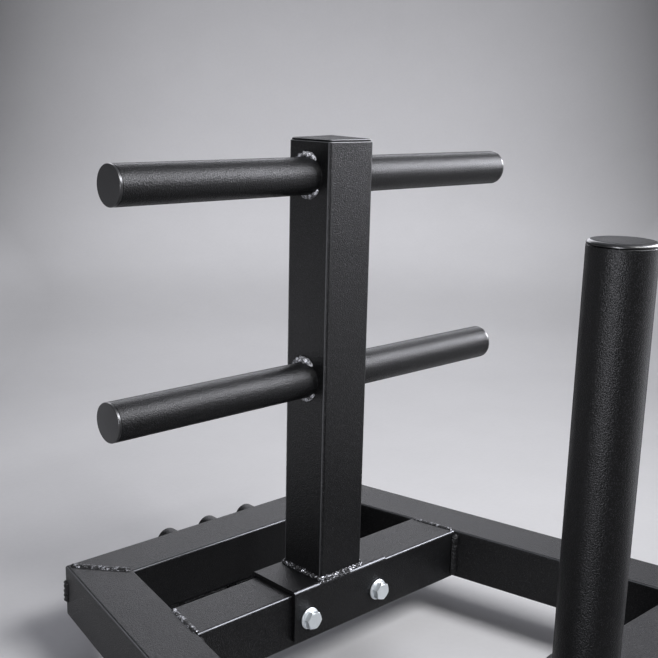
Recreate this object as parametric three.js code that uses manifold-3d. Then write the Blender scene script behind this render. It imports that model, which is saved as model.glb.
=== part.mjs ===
// Push sled: a tapered frame of welded square tube on gliding feet. A bolted upright carries four push
// handles, and a round post stands in a socket to hold weight plates.
// Millimetres, +Z up. The sled travels towards -Y and is pushed from the +Y side. Left is -X.
// The origin is on the floor, under the middle of the whole sled's box.

import * as THREE from 'three';
import { mergeVertices } from 'three/addons/utils/BufferGeometryUtils.js';
import Module from 'manifold-3d';

const wasm = await Module();
wasm.setup();

// Square tube
const TUBE_SIZE = 50;
const TUBE_WALL = 3;
const TUBE_CORNER = 4.5;

// Frame plan, measured along the sled from the upright's axis
const HALF_CLEAR_WIDTH = 155.4;
const SPREAD_SHARE = 0.194;
const REAR_BAY = 81.7;
const MIDDLE_BAY = 219.3;
const FRONT_BAY = 185.7;
const MIDDLE_CROSSMEMBER_WIDTH = 75;

// Feet
const LEG_HEIGHT = 38;
const LEG_WIDTH = 59;
const MIDDLE_LEG_WIDTH = 46;
const LEG_WALL = 3;
const LEG_PLATE = 5;
const LEG_CORNER = 4;
const REAR_LEG_GAP = 3;
const FRONT_LEG_INSET = 25;
const SHOE_THICKNESS = 12;
const SHOE_CORNER = 6;
const SHOE_CHAMFER = 4;

// Shoe screws
const SCREW_DIAMETER = 8;
const SCREW_HEAD_DIAMETER = 16;
const SCREW_HEAD_HEIGHT = 4.4;
const SCREW_LENGTH = 20;
const SCREW_RECESS = 2.5;
const SCREW_KEY_WIDTH = 5;
const SCREW_KEY_DEPTH = 2.6;

// Upright and its saddle
const SADDLE_LENGTH = 113.6;
const SADDLE_SHIFT = -2.2;
const SADDLE_THICKNESS = 4;
const SADDLE_SKIRT = 43;
const SADDLE_BEND = 2.5;
const UPRIGHT_LENGTH = 382.8;
const UPRIGHT_PLUG_DEPTH = 14;
const CAP_FLANGE = 1.6;
const CAP_SHOULDER = 1.2;
const CAP_RISE = 2.6;

// Saddle bolts and nuts
const BOLT_DIAMETER = 10;
const BOLT_SPACING = 86;
const BOLT_SHIFT = 1;
const BOLT_DROP = 25;
const BOLT_FLANGE_DIAMETER = 21.8;
const BOLT_FLANGE_RIM = 1.5;
const BOLT_FLANGE_HEIGHT = 3.4;
const BOLT_HEX_WIDTH = 15;
const BOLT_HEAD_HEIGHT = 8.6;
const BOLT_CROWN = 0.9;
const BOLT_TIP = 4;
const BOLT_TIP_CHAMFER = 1;
const NUT_HEIGHT = 10;

// Handles
const HANDLE_DIAMETER = 31.2;
const HANDLE_WALL = 2.5;
const HANDLE_LENGTH = 191.8;
const LOWER_HANDLE_SHIFT = -6;
const UPPER_HANDLE_DROP = 28.5;
const HANDLE_SPACING = 174.5;
const HANDLE_CAP_FLANGE = 2.4;
const HANDLE_CAP_ROUND = 0.9;
const HANDLE_PLUG_DEPTH = 12;

// Weight post and its socket
const POST_DIAMETER = 48.3;
const POST_WALL = 3;
const POST_HEIGHT = 335.8;
const POST_CAP_FLANGE = 3;
const POST_CAP_ROUND = 1.4;
const POST_PLUG_DEPTH = 15;
const SOCKET_WALL = 5.5;
const SOCKET_RISE = 20;

// Rear pegs
const PEG_DIAMETER = 25;
const PEG_LENGTH = 20;
const PEG_SPACING = 50;
const PEG_DROP = 17;
const PEG_ROUND = 2;

// Clearances
const SEAT_GAP = 0.3;
const SLIDE_GAP = 0.4;
const HOLE_GAP = 0.5;
const CUT_OVERRUN = 2;

// Facets
const CORNER_STEPS = 4;
const ROUND_SEGMENTS = 40;
const SMALL_SEGMENTS = 24;
const EDGE_STEPS = 2;
const HEX_SIDES = 6;

// Places that follow from the sizes
const RAIL_BOTTOM = SHOE_THICKNESS + SEAT_GAP + LEG_HEIGHT + SEAT_GAP;
const RAIL_TOP = RAIL_BOTTOM + TUBE_SIZE;
const RAIL_MIDDLE = (RAIL_BOTTOM + RAIL_TOP) / 2;
const HALF_TUBE = TUBE_SIZE / 2;
const REAR_INNER_Y = HALF_TUBE + REAR_BAY;
const REAR_OUTER_Y = REAR_INNER_Y + TUBE_SIZE;
const REAR_RAIL_Y = (REAR_INNER_Y + REAR_OUTER_Y) / 2;
const MIDDLE_CROSSMEMBER_Y = -HALF_TUBE - MIDDLE_BAY - MIDDLE_CROSSMEMBER_WIDTH / 2;
const FRONT_INNER_Y = MIDDLE_CROSSMEMBER_Y - MIDDLE_CROSSMEMBER_WIDTH / 2 - FRONT_BAY;
const FRONT_OUTER_Y = FRONT_INNER_Y - TUBE_SIZE;
const FRONT_RAIL_Y = (FRONT_INNER_Y + FRONT_OUTER_Y) / 2;
const SIDE_RAIL_ACROSS = TUBE_SIZE * Math.hypot(1, SPREAD_SHARE);
const SADDLE_INNER = HALF_TUBE + SEAT_GAP;
const SADDLE_OUTER = SADDLE_INNER + SADDLE_THICKNESS;
const SADDLE_UNDERSIDE = RAIL_TOP + SEAT_GAP;
const SADDLE_TOP = SADDLE_UNDERSIDE + SADDLE_THICKNESS;
const UPRIGHT_BOTTOM = SADDLE_TOP + SEAT_GAP;
const UPRIGHT_TOP = UPRIGHT_BOTTOM + UPRIGHT_LENGTH;
const UPPER_HANDLE_Z = UPRIGHT_TOP - UPPER_HANDLE_DROP;
const LOWER_HANDLE_Z = UPPER_HANDLE_Z - HANDLE_SPACING;
const BOLT_Z = RAIL_TOP - BOLT_DROP;
const BOLT_GRIP = 2 * (SADDLE_OUTER + SEAT_GAP);
const BOLT_LENGTH = BOLT_GRIP + NUT_HEIGHT + BOLT_TIP;
const SOCKET_INNER_RADIUS = POST_DIAMETER / 2 + SLIDE_GAP;
const SOCKET_OUTER_RADIUS = SOCKET_INNER_RADIUS + SOCKET_WALL;
const SOCKET_BOTTOM = RAIL_BOTTOM + TUBE_WALL + SEAT_GAP;
const SOCKET_TOP = RAIL_TOP + SOCKET_RISE;
const POST_BOTTOM = RAIL_BOTTOM + TUBE_WALL + SEAT_GAP;
const POST_TUBE_TOP = RAIL_TOP + POST_HEIGHT - POST_CAP_FLANGE - SEAT_GAP;
const PEG_START_Y = REAR_OUTER_Y + SEAT_GAP;
const PEG_Z = RAIL_TOP - PEG_DROP;
const LEG_BOTTOM = SHOE_THICKNESS + SEAT_GAP;
const BOX_MIDDLE_Y = (PEG_START_Y + PEG_LENGTH + FRONT_OUTER_Y) / 2;

const UP = new THREE.Vector3(0, 0, 1);
const RIGHT = new THREE.Vector3(1, 0, 0);

// Materials
const powderCoat = () => new THREE.MeshStandardMaterial({ color: 0x1c1c1e, roughness: 0.55, metalness: 0.1 });
const capPlastic = () => new THREE.MeshStandardMaterial({ color: 0x17171a, roughness: 0.5, metalness: 0 });
const glidePlastic = () => new THREE.MeshStandardMaterial({ color: 0x222224, roughness: 0.7, metalness: 0 });
const zincPlate = () => new THREE.MeshStandardMaterial({ color: 0xc9cdd1, roughness: 0.3, metalness: 1 });

const sled = new THREE.Group();
sled.position.y = -BOX_MIDDLE_Y;

function addPiece(name, geometry, material, position = new THREE.Vector3()) {
  const piece = new THREE.Mesh(geometry, material);
  piece.name = name;
  piece.position.copy(position);
  sled.add(piece);
  return piece;
}

// Booleans

function toSolid(geometry) {
  const plain = new THREE.BufferGeometry();
  plain.setAttribute('position', geometry.getAttribute('position').clone());
  if (geometry.index) plain.setIndex(geometry.index.clone());
  const merged = mergeVertices(plain);
  const vertProperties = new Float32Array(merged.getAttribute('position').array);
  const triVerts = new Uint32Array(merged.index.array);
  return new wasm.Manifold(new wasm.Mesh({ numProp: 3, vertProperties, triVerts }));
}

function toGeometry(solid) {
  const mesh = solid.getMesh();
  const geometry = new THREE.BufferGeometry();
  geometry.setAttribute('position', new THREE.BufferAttribute(new Float32Array(mesh.vertProperties), 3));
  geometry.setIndex(new THREE.BufferAttribute(new Uint32Array(mesh.triVerts), 1));
  geometry.computeVertexNormals();
  return geometry;
}

function cutAway(geometry, ...tools) {
  return toGeometry(tools.reduce((solid, tool) => solid.subtract(toSolid(tool)), toSolid(geometry)));
}

function joined(geometry, ...others) {
  return toGeometry(others.reduce((solid, other) => solid.add(toSolid(other)), toSolid(geometry)));
}

// Sections and turned shapes

function roundedRectangle(width, height, corner, PathClass = THREE.Shape) {
  const x = width / 2 - corner;
  const y = height / 2 - corner;
  const outline = new PathClass();
  outline.absarc(x, y, corner, 0, Math.PI / 2, false);
  outline.absarc(-x, y, corner, Math.PI / 2, Math.PI, false);
  outline.absarc(-x, -y, corner, Math.PI, 1.5 * Math.PI, false);
  outline.absarc(x, -y, corner, 1.5 * Math.PI, 2 * Math.PI, false);
  outline.closePath();
  return outline;
}

function tubeSection(width) {
  const section = roundedRectangle(width, TUBE_SIZE, TUBE_CORNER);
  const bore = roundedRectangle(
    width - 2 * TUBE_WALL, TUBE_SIZE - 2 * TUBE_WALL, TUBE_CORNER - TUBE_WALL, THREE.Path,
  );
  section.holes.push(bore);
  return section;
}

function extruded(section, depth) {
  return new THREE.ExtrudeGeometry(section, { depth, bevelEnabled: false, curveSegments: CORNER_STEPS });
}

// A solid turned about +Z from a profile of radius and height, listed from the axis or bore round to it
function turned(profile, segments = ROUND_SEGMENTS) {
  const points = profile.map(([radius, height]) => new THREE.Vector2(radius, height));
  return new THREE.LatheGeometry(points, segments).rotateX(Math.PI / 2);
}

function roundTube(innerRadius, outerRadius, length) {
  return turned([
    [innerRadius, 0], [outerRadius, 0], [outerRadius, length], [innerRadius, length], [innerRadius, 0],
  ]);
}

function roundRod(radius, length, segments = SMALL_SEGMENTS) {
  return turned([[0, 0], [radius, 0], [radius, length], [0, length]], segments);
}

// Points that round an outside edge from the side of a turned piece on to its end
function edgeRound(radius, height, round) {
  return Array.from({ length: EDGE_STEPS + 1 }, (_, step) => {
    const angle = (step / EDGE_STEPS) * (Math.PI / 2);
    return [radius - round + round * Math.cos(angle), height - round + round * Math.sin(angle)];
  });
}

// A closed solid through loops of equally many points, each end closed to its middle point
function lofted(loops, bottomMiddle, topMiddle) {
  const count = loops[0].length;
  const points = [...loops.flat(), bottomMiddle, topMiddle];
  const lastLoop = (loops.length - 1) * count;
  const index = [];
  for (let i = 0; i < count; i += 1) {
    const next = (i + 1) % count;
    for (let start = 0; start < lastLoop; start += count) {
      index.push(start + i, start + next, start + count + next);
      index.push(start + i, start + count + next, start + count + i);
    }
    index.push(points.length - 2, next, i);
    index.push(points.length - 1, lastLoop + i, lastLoop + next);
  }
  const geometry = new THREE.BufferGeometry().setFromPoints(points);
  geometry.setIndex(index);
  geometry.computeVertexNormals();
  return geometry;
}

function rectangleLoop(width, height, corner, z) {
  const quarters = [[1, 1], [-1, 1], [-1, -1], [1, -1]];
  return quarters.flatMap(([sideX, sideY], quarter) => (
    Array.from({ length: CORNER_STEPS + 1 }, (_, step) => {
      const angle = (quarter + step / CORNER_STEPS) * Math.PI / 2;
      const x = sideX * (width / 2 - corner) + corner * Math.cos(angle);
      const y = sideY * (height / 2 - corner) + corner * Math.sin(angle);
      return new THREE.Vector3(x, y, z);
    })
  ));
}

// Frame rails

function innerCorner(side, y) {
  return new THREE.Vector3(side * (HALF_CLEAR_WIDTH - SPREAD_SHARE * y), y, 0);
}

function outerCorner(side, y) {
  return innerCorner(side, y).addScaledVector(RIGHT, side * SIDE_RAIL_ACROSS);
}

function wallThrough(from, to) {
  const normal = new THREE.Vector3().subVectors(to, from).normalize().cross(UP);
  return new THREE.Plane().setFromNormalAndCoplanarPoint(normal, from);
}

function wallAcross(x) {
  return new THREE.Plane().setFromNormalAndCoplanarPoint(RIGHT, new THREE.Vector3(x, 0, 0));
}

function rearMitre(side) {
  return wallThrough(innerCorner(side, REAR_INNER_Y), outerCorner(side, REAR_OUTER_Y));
}

function frontMitre(side) {
  return wallThrough(innerCorner(side, FRONT_INNER_Y), outerCorner(side, FRONT_OUTER_Y));
}

function sideRailFace(side) {
  return wallThrough(innerCorner(side, FRONT_INNER_Y), innerCorner(side, REAR_INNER_Y));
}

function stoodBack(wall, middle, gap) {
  const moved = wall.clone();
  moved.constant -= gap * Math.sign(wall.distanceToPoint(middle));
  return moved;
}

// A section carried along a level run, each end cut by a wall that it stands back from by the gap
function runBetween(section, middle, run, startWall, endWall, gap) {
  const geometry = extruded(section, 1);
  const across = new THREE.Vector3().crossVectors(UP, run);
  const walls = [stoodBack(startWall, middle, gap), stoodBack(endWall, middle, gap)];
  const place = geometry.getAttribute('position');
  const point = new THREE.Vector3();
  for (let i = 0; i < place.count; i += 1) {
    const wall = walls[place.getZ(i) > 0 ? 1 : 0];
    point.copy(middle).addScaledVector(across, place.getX(i)).addScaledVector(UP, place.getY(i));
    point.addScaledVector(run, -wall.distanceToPoint(point) / wall.normal.dot(run));
    place.setXYZ(i, point.x, point.y, point.z);
  }
  geometry.computeVertexNormals();
  return geometry;
}

function crossRail(y, width, leftWall, rightWall, gap) {
  const middle = new THREE.Vector3(0, y, RAIL_MIDDLE);
  return runBetween(tubeSection(width), middle, RIGHT, leftWall, rightWall, gap);
}

function sideRail(side) {
  const middle = innerCorner(side, 0).lerp(outerCorner(side, 0), 0.5).setZ(RAIL_MIDDLE);
  const run = new THREE.Vector3(-side * SPREAD_SHARE, 1, 0).normalize();
  return runBetween(tubeSection(TUBE_SIZE), middle, run, frontMitre(side), rearMitre(side), SEAT_GAP / 2);
}

function boltX(side) {
  return BOLT_SHIFT + side * BOLT_SPACING / 2;
}

function boltHoles() {
  const length = 2 * (SADDLE_OUTER + CUT_OVERRUN);
  return [-1, 1].map((side) => {
    const hole = roundRod(BOLT_DIAMETER / 2 + HOLE_GAP, length).rotateX(Math.PI / 2);
    return hole.translate(boltX(side), length / 2, BOLT_Z);
  });
}

function middleCrossmember() {
  const hole = roundRod(SOCKET_OUTER_RADIUS + SEAT_GAP, HALF_TUBE + CUT_OVERRUN, ROUND_SEGMENTS);
  hole.translate(0, MIDDLE_CROSSMEMBER_Y, RAIL_MIDDLE);
  const tube = crossRail(
    MIDDLE_CROSSMEMBER_Y, MIDDLE_CROSSMEMBER_WIDTH, sideRailFace(-1), sideRailFace(1), SEAT_GAP,
  );
  return cutAway(tube, hole);
}

addPiece('left_rail', sideRail(-1), powderCoat());
addPiece('right_rail', sideRail(1), powderCoat());
addPiece(
  'rear_rail', crossRail(REAR_RAIL_Y, TUBE_SIZE, rearMitre(-1), rearMitre(1), SEAT_GAP / 2), powderCoat(),
);
addPiece(
  'front_rail', crossRail(FRONT_RAIL_Y, TUBE_SIZE, frontMitre(-1), frontMitre(1), SEAT_GAP / 2), powderCoat(),
);
const plainCrossmember = crossRail(0, TUBE_SIZE, sideRailFace(-1), sideRailFace(1), SEAT_GAP);
addPiece('rear_crossmember', cutAway(plainCrossmember, ...boltHoles()), powderCoat());
addPiece('middle_crossmember', middleCrossmember(), powderCoat());

// Upright, its saddle and cap

function saddleSection() {
  const bend = SADDLE_BEND + SADDLE_THICKNESS;
  const top = SADDLE_THICKNESS;
  const hem = -SADDLE_SKIRT;
  const section = new THREE.Shape();
  section.moveTo(SADDLE_OUTER, hem);
  section.absarc(SADDLE_OUTER - bend, top - bend, bend, 0, Math.PI / 2, false);
  section.absarc(-SADDLE_OUTER + bend, top - bend, bend, Math.PI / 2, Math.PI, false);
  section.lineTo(-SADDLE_OUTER, hem);
  section.lineTo(-SADDLE_INNER, hem);
  section.absarc(-SADDLE_INNER + SADDLE_BEND, -SADDLE_BEND, SADDLE_BEND, Math.PI, Math.PI / 2, true);
  section.absarc(SADDLE_INNER - SADDLE_BEND, -SADDLE_BEND, SADDLE_BEND, Math.PI / 2, 0, true);
  section.lineTo(SADDLE_INNER, hem);
  section.closePath();
  return section;
}

function saddle() {
  const middle = new THREE.Vector3(0, 0, SADDLE_UNDERSIDE);
  const ends = [-1, 1].map((side) => wallAcross(SADDLE_SHIFT + side * SADDLE_LENGTH / 2));
  const plate = runBetween(saddleSection(), middle, RIGHT, ...ends, 0);
  return cutAway(plate, ...boltHoles());
}

function squareCap() {
  const plug = TUBE_SIZE - 2 * (TUBE_WALL + SEAT_GAP);
  const plugCorner = TUBE_CORNER - TUBE_WALL;
  const shoulder = TUBE_SIZE - 2 * CAP_SHOULDER;
  const shoulderCorner = TUBE_CORNER - CAP_SHOULDER;
  const peak = CAP_FLANGE + CAP_RISE;
  const loops = [
    rectangleLoop(plug, plug, plugCorner, -UPRIGHT_PLUG_DEPTH),
    rectangleLoop(plug, plug, plugCorner, 0),
    rectangleLoop(TUBE_SIZE, TUBE_SIZE, TUBE_CORNER, 0),
    rectangleLoop(TUBE_SIZE, TUBE_SIZE, TUBE_CORNER, CAP_FLANGE - CAP_SHOULDER),
    rectangleLoop(shoulder, shoulder, shoulderCorner, CAP_FLANGE),
  ];
  return lofted(loops, new THREE.Vector3(0, 0, -UPRIGHT_PLUG_DEPTH), new THREE.Vector3(0, 0, peak));
}

addPiece('upright_saddle', saddle(), powderCoat());
addPiece(
  'upright', extruded(tubeSection(TUBE_SIZE), UPRIGHT_LENGTH), powderCoat(),
  new THREE.Vector3(0, 0, UPRIGHT_BOTTOM),
);
addPiece('upright_cap', squareCap(), capPlastic(), new THREE.Vector3(0, 0, UPRIGHT_TOP + SEAT_GAP));

// Saddle bolts and nuts, made along +Z with the flange's seat at zero and turned to lie along +Y

function hexPrism(width, height) {
  const corner = width / 2 / Math.cos(Math.PI / HEX_SIDES);
  const prism = new THREE.CylinderGeometry(corner, corner, height, HEX_SIDES).rotateX(Math.PI / 2);
  return prism.translate(0, 0, height / 2);
}

function flangeCone() {
  return turned([
    [0, 0], [BOLT_FLANGE_DIAMETER / 2, 0], [BOLT_FLANGE_DIAMETER / 2, BOLT_FLANGE_RIM],
    [BOLT_HEX_WIDTH / 2, BOLT_FLANGE_HEIGHT], [0, BOLT_FLANGE_HEIGHT],
  ], ROUND_SEGMENTS);
}

function saddleBolt() {
  const shank = BOLT_DIAMETER / 2;
  const straight = BOLT_LENGTH - BOLT_TIP_CHAMFER;
  const shaft = turned([
    [0, -BOLT_LENGTH], [shank - BOLT_TIP_CHAMFER, -BOLT_LENGTH], [shank, -straight],
    [shank, BOLT_FLANGE_RIM], [0, BOLT_FLANGE_RIM],
  ], SMALL_SEGMENTS);
  const crownRadius = BOLT_HEX_WIDTH / 2;
  const crown = turned([
    [0, BOLT_FLANGE_RIM], [crownRadius, BOLT_FLANGE_RIM], [crownRadius, BOLT_HEAD_HEIGHT - BOLT_CROWN],
    [crownRadius - BOLT_CROWN, BOLT_HEAD_HEIGHT], [0, BOLT_HEAD_HEIGHT],
  ], SMALL_SEGMENTS);
  return joined(shaft, flangeCone(), hexPrism(BOLT_HEX_WIDTH, BOLT_HEAD_HEIGHT - BOLT_CROWN), crown);
}

function saddleNut() {
  const hole = roundRod(BOLT_DIAMETER / 2 + SEAT_GAP, NUT_HEIGHT + 2 * CUT_OVERRUN);
  hole.translate(0, 0, -CUT_OVERRUN);
  return cutAway(joined(flangeCone(), hexPrism(BOLT_HEX_WIDTH, NUT_HEIGHT)), hole);
}

for (const [name, side] of [['left', -1], ['right', 1]]) {
  const headSeat = new THREE.Vector3(boltX(side), -SADDLE_OUTER - SEAT_GAP, BOLT_Z);
  const nutSeat = new THREE.Vector3(boltX(side), SADDLE_OUTER + SEAT_GAP, BOLT_Z);
  addPiece(`${name}_saddle_bolt`, saddleBolt().rotateX(Math.PI / 2), zincPlate(), headSeat);
  addPiece(`${name}_saddle_nut`, saddleNut().rotateX(-Math.PI / 2), zincPlate(), nutSeat);
}

// Handles, with a plastic cap in each outer end

function roundCap(tubeRadius, wall, flange, round, plugDepth) {
  const plug = tubeRadius - wall - SEAT_GAP;
  return turned([
    [0, -plugDepth], [plug, -plugDepth], [plug, 0], [tubeRadius, 0],
    ...edgeRound(tubeRadius, flange, round), [0, flange],
  ]);
}

function handleTube(length) {
  const tubeLength = length - 2 * SEAT_GAP - HANDLE_CAP_FLANGE;
  return roundTube(HANDLE_DIAMETER / 2 - HANDLE_WALL, HANDLE_DIAMETER / 2, tubeLength);
}

function handleCap() {
  return roundCap(
    HANDLE_DIAMETER / 2, HANDLE_WALL, HANDLE_CAP_FLANGE, HANDLE_CAP_ROUND, HANDLE_PLUG_DEPTH,
  );
}

function addHandlePair(level, z, shift) {
  for (const [name, side] of [['left', -1], ['right', 1]]) {
    const turn = side * Math.PI / 2;
    const length = HANDLE_LENGTH + side * shift;
    const root = new THREE.Vector3(side * (HALF_TUBE + SEAT_GAP), 0, z);
    const tip = new THREE.Vector3(side * (HALF_TUBE + length - HANDLE_CAP_FLANGE), 0, z);
    addPiece(`${level}_${name}_handle`, handleTube(length).rotateY(turn), powderCoat(), root);
    addPiece(`${level}_${name}_handle_cap`, handleCap().rotateY(turn), capPlastic(), tip);
  }
}

addHandlePair('upper', UPPER_HANDLE_Z, 0);
addHandlePair('lower', LOWER_HANDLE_Z, LOWER_HANDLE_SHIFT);

// Weight post, which lifts out of a socket in the middle cross member

const socketFoot = new THREE.Vector3(0, MIDDLE_CROSSMEMBER_Y, SOCKET_BOTTOM);
const postFoot = new THREE.Vector3(0, MIDDLE_CROSSMEMBER_Y, POST_BOTTOM);
const postTip = new THREE.Vector3(0, MIDDLE_CROSSMEMBER_Y, POST_TUBE_TOP + SEAT_GAP);
const socketTube = roundTube(SOCKET_INNER_RADIUS, SOCKET_OUTER_RADIUS, SOCKET_TOP - SOCKET_BOTTOM);
const postTube = roundTube(POST_DIAMETER / 2 - POST_WALL, POST_DIAMETER / 2, POST_TUBE_TOP - POST_BOTTOM);
const postCap = roundCap(POST_DIAMETER / 2, POST_WALL, POST_CAP_FLANGE, POST_CAP_ROUND, POST_PLUG_DEPTH);
addPiece('post_socket', socketTube, powderCoat(), socketFoot);
addPiece('weight_post', postTube, powderCoat(), postFoot);
addPiece('weight_post_cap', postCap, capPlastic(), postTip);

// Rear pegs

function peg() {
  const radius = PEG_DIAMETER / 2;
  return turned([[0, 0], [radius, 0], ...edgeRound(radius, PEG_LENGTH, PEG_ROUND), [0, PEG_LENGTH]]);
}

for (const [name, step] of [['left', -1], ['middle', 0], ['right', 1]]) {
  const foot = new THREE.Vector3(step * PEG_SPACING, PEG_START_Y, PEG_Z);
  addPiece(`${name}_rear_peg`, peg().rotateX(-Math.PI / 2), powderCoat(), foot);
}

// Feet: a hollow steel leg with a closed base, a plastic glide shoe and its countersunk screw

function leg(width) {
  const outside = extruded(roundedRectangle(width, TUBE_SIZE, LEG_CORNER), LEG_HEIGHT);
  const inside = extruded(
    roundedRectangle(width - 2 * LEG_WALL, TUBE_SIZE - 2 * LEG_WALL, LEG_CORNER - LEG_WALL), LEG_HEIGHT,
  ).translate(0, 0, LEG_PLATE);
  const hole = roundRod(SCREW_DIAMETER / 2 + SEAT_GAP, LEG_PLATE + 2 * CUT_OVERRUN);
  hole.translate(0, 0, -CUT_OVERRUN);
  return cutAway(outside, inside, hole);
}

function glideShoe(width) {
  const narrow = (size) => size - 2 * SHOE_CHAMFER;
  const block = lofted([
    rectangleLoop(narrow(width), narrow(TUBE_SIZE), SHOE_CORNER, 0),
    rectangleLoop(width, TUBE_SIZE, SHOE_CORNER, SHOE_CHAMFER),
    rectangleLoop(width, TUBE_SIZE, SHOE_CORNER, SHOE_THICKNESS),
  ], new THREE.Vector3(), new THREE.Vector3(0, 0, SHOE_THICKNESS));
  const headRadius = SCREW_HEAD_DIAMETER / 2 + SEAT_GAP;
  const holeRadius = SCREW_DIAMETER / 2 + SEAT_GAP;
  const shoulder = SCREW_RECESS + SCREW_HEAD_HEIGHT;
  const hole = turned([
    [0, -CUT_OVERRUN], [headRadius, -CUT_OVERRUN], [headRadius, SCREW_RECESS],
    [holeRadius, shoulder], [holeRadius, SHOE_THICKNESS + CUT_OVERRUN], [0, SHOE_THICKNESS + CUT_OVERRUN],
  ], SMALL_SEGMENTS);
  return cutAway(block, hole);
}

function shoeScrew() {
  const body = turned([
    [0, 0], [SCREW_HEAD_DIAMETER / 2, 0], [SCREW_DIAMETER / 2, SCREW_HEAD_HEIGHT],
    [SCREW_DIAMETER / 2, SCREW_LENGTH], [0, SCREW_LENGTH],
  ], SMALL_SEGMENTS);
  const keyway = hexPrism(SCREW_KEY_WIDTH, CUT_OVERRUN + SCREW_KEY_DEPTH).translate(0, 0, -CUT_OVERRUN);
  return cutAway(body, keyway);
}

function addFoot(name, width, x, y) {
  addPiece(`${name}_leg`, leg(width), powderCoat(), new THREE.Vector3(x, y, LEG_BOTTOM));
  addPiece(`${name}_glide_shoe`, glideShoe(width), glidePlastic(), new THREE.Vector3(x, y, 0));
  addPiece(`${name}_shoe_screw`, shoeScrew(), zincPlate(), new THREE.Vector3(x, y, SCREW_RECESS));
}

const rearLegX = (MIDDLE_LEG_WIDTH + LEG_WIDTH) / 2 + REAR_LEG_GAP;
const frontLegX = innerCorner(1, FRONT_INNER_Y).x - FRONT_LEG_INSET;
addFoot('rear_middle', MIDDLE_LEG_WIDTH, 0, REAR_RAIL_Y);
for (const [name, side] of [['left', -1], ['right', 1]]) {
  addFoot(`rear_${name}`, LEG_WIDTH, side * rearLegX, REAR_RAIL_Y);
  addFoot(`front_${name}`, LEG_WIDTH, side * frontLegX, FRONT_RAIL_Y);
}

export default sled;
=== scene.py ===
import functools
import math

import bmesh
import bpy
from mathutils import Matrix, Vector, noise


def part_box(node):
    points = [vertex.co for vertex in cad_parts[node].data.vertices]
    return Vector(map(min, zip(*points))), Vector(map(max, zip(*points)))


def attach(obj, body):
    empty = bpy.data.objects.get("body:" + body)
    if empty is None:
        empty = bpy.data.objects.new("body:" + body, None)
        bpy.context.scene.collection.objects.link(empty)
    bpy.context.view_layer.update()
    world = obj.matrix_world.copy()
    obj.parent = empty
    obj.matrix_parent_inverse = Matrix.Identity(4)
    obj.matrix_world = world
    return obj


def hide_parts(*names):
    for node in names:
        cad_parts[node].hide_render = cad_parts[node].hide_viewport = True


bl_info = {
    "name": "Push sled",
    "version": (1, 0, 0),
    "blender": (4, 5, 0),
    "location": "View3D > Sidebar > Sled",
    "description": "Builds the push sled around its CAD frame",
    "category": "Object",
}

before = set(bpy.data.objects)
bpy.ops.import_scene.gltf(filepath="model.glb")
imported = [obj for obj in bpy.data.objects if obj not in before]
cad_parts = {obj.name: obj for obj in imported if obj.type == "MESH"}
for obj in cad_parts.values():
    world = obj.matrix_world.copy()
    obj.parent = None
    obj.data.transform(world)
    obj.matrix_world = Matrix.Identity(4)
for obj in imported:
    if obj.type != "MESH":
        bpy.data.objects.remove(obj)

FRAME_BODY = "frame"
POST_BODY = "weight_post"
UP = Vector((0, 0, 1))
DOWN = Vector((0, 0, -1))
SIDES = ((-1, "left"), (1, "right"))
ENDS = ((1, "rear"), (-1, "front"))
CROSSMEMBERS = ("rear_crossmember", "middle_crossmember")
HANDLES = [(side, f"{level}_{name}_handle")
           for level in ("upper", "lower") for side, name in SIDES]
PEGS = [f"{name}_rear_peg" for name in ("left", "middle", "right")]
FEET = ("rear_left", "rear_middle", "rear_right", "front_left", "front_right")


# Sizes and colours that a user can change

def length_setting(name, description, default, least):
    return bpy.props.FloatProperty(
        name=name, description=description, default=default, min=least, unit="LENGTH")


def colour_setting(name, description, default):
    return bpy.props.FloatVectorProperty(
        name=name, description=description, default=default, subtype="COLOR", min=0, max=1)


class SledSizes(bpy.types.PropertyGroup):
    """Sizes of what the CAD frame leaves open, in metres."""

    tube_corner: length_setting(
        "Tube corner", "Outer corner radius of the square tubes", 0.0024, 0.0005)
    saddle_bend: length_setting(
        "Saddle bend", "Outer bend radius of the saddle plate", 0.0035, 0.001)
    saddle_thickness: length_setting(
        "Saddle thickness", "Thickness of the saddle plate", 0.004, 0.001)
    spread_share: bpy.props.FloatProperty(
        name="Spread",
        description="How far each side rail moves out for each metre towards the front",
        default=0.194, min=0.0)
    bead_radius: length_setting("Weld bead", "Leg length of the weld beads", 0.0034, 0.001)
    bead_pitch: length_setting(
        "Weld ripple", "Distance from one weld ripple to the next", 0.0042, 0.0005)
    seam: length_setting("Seam", "Gap between pieces that touch", 0.0003, 0.0)
    grain: length_setting("Coat grain", "Width of one dimple in the powder coat", 0.0011, 0.0002)


class SledColours(bpy.types.PropertyGroup):
    """Base colours of the finishes."""

    powder: colour_setting(
        "Powder coat", "Black powder coat on the steel", (0.0032, 0.0033, 0.0037))
    # Painted highlight: this colour brightens the corners of the tubes and the saddle and the
    # upright's rims in place of lamp highlights.
    edge: colour_setting(
        "Worn edge", "Worn corners of the tubes and the saddle", (0.085, 0.088, 0.094))
    weld: colour_setting("Weld ridge", "Bright ridges of the weld beads", (0.42, 0.425, 0.45))
    cap: colour_setting("Caps", "Black plastic of the tube caps", (0.0105, 0.0108, 0.0118))
    shoe: colour_setting("Glide shoes", "Dark plastic of the glide shoes", (0.02, 0.02, 0.021))
    zinc: colour_setting("Zinc", "Plating of the bolts, nuts and screws", (0.88, 0.93, 0.96))
    floor: colour_setting("Floor", "Pale studio floor", (0.8, 0.795, 0.815))
    # Painted shade: the wall is given a darker colour than the floor.
    wall: colour_setting("Wall", "Pale studio wall", (0.63, 0.625, 0.643))


def sizes():
    return bpy.context.scene.sled_sizes


def colours():
    return bpy.context.scene.sled_colours


# Shader nodes

def math_method(operation, swapped=False):
    """A method that adds one math node."""
    def method(self, other):
        first, second = (other, self) if swapped else (self, other)
        return self.shader.node("ShaderNodeMath", {"operation": operation}, {0: first, 1: second})
    return method


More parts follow.
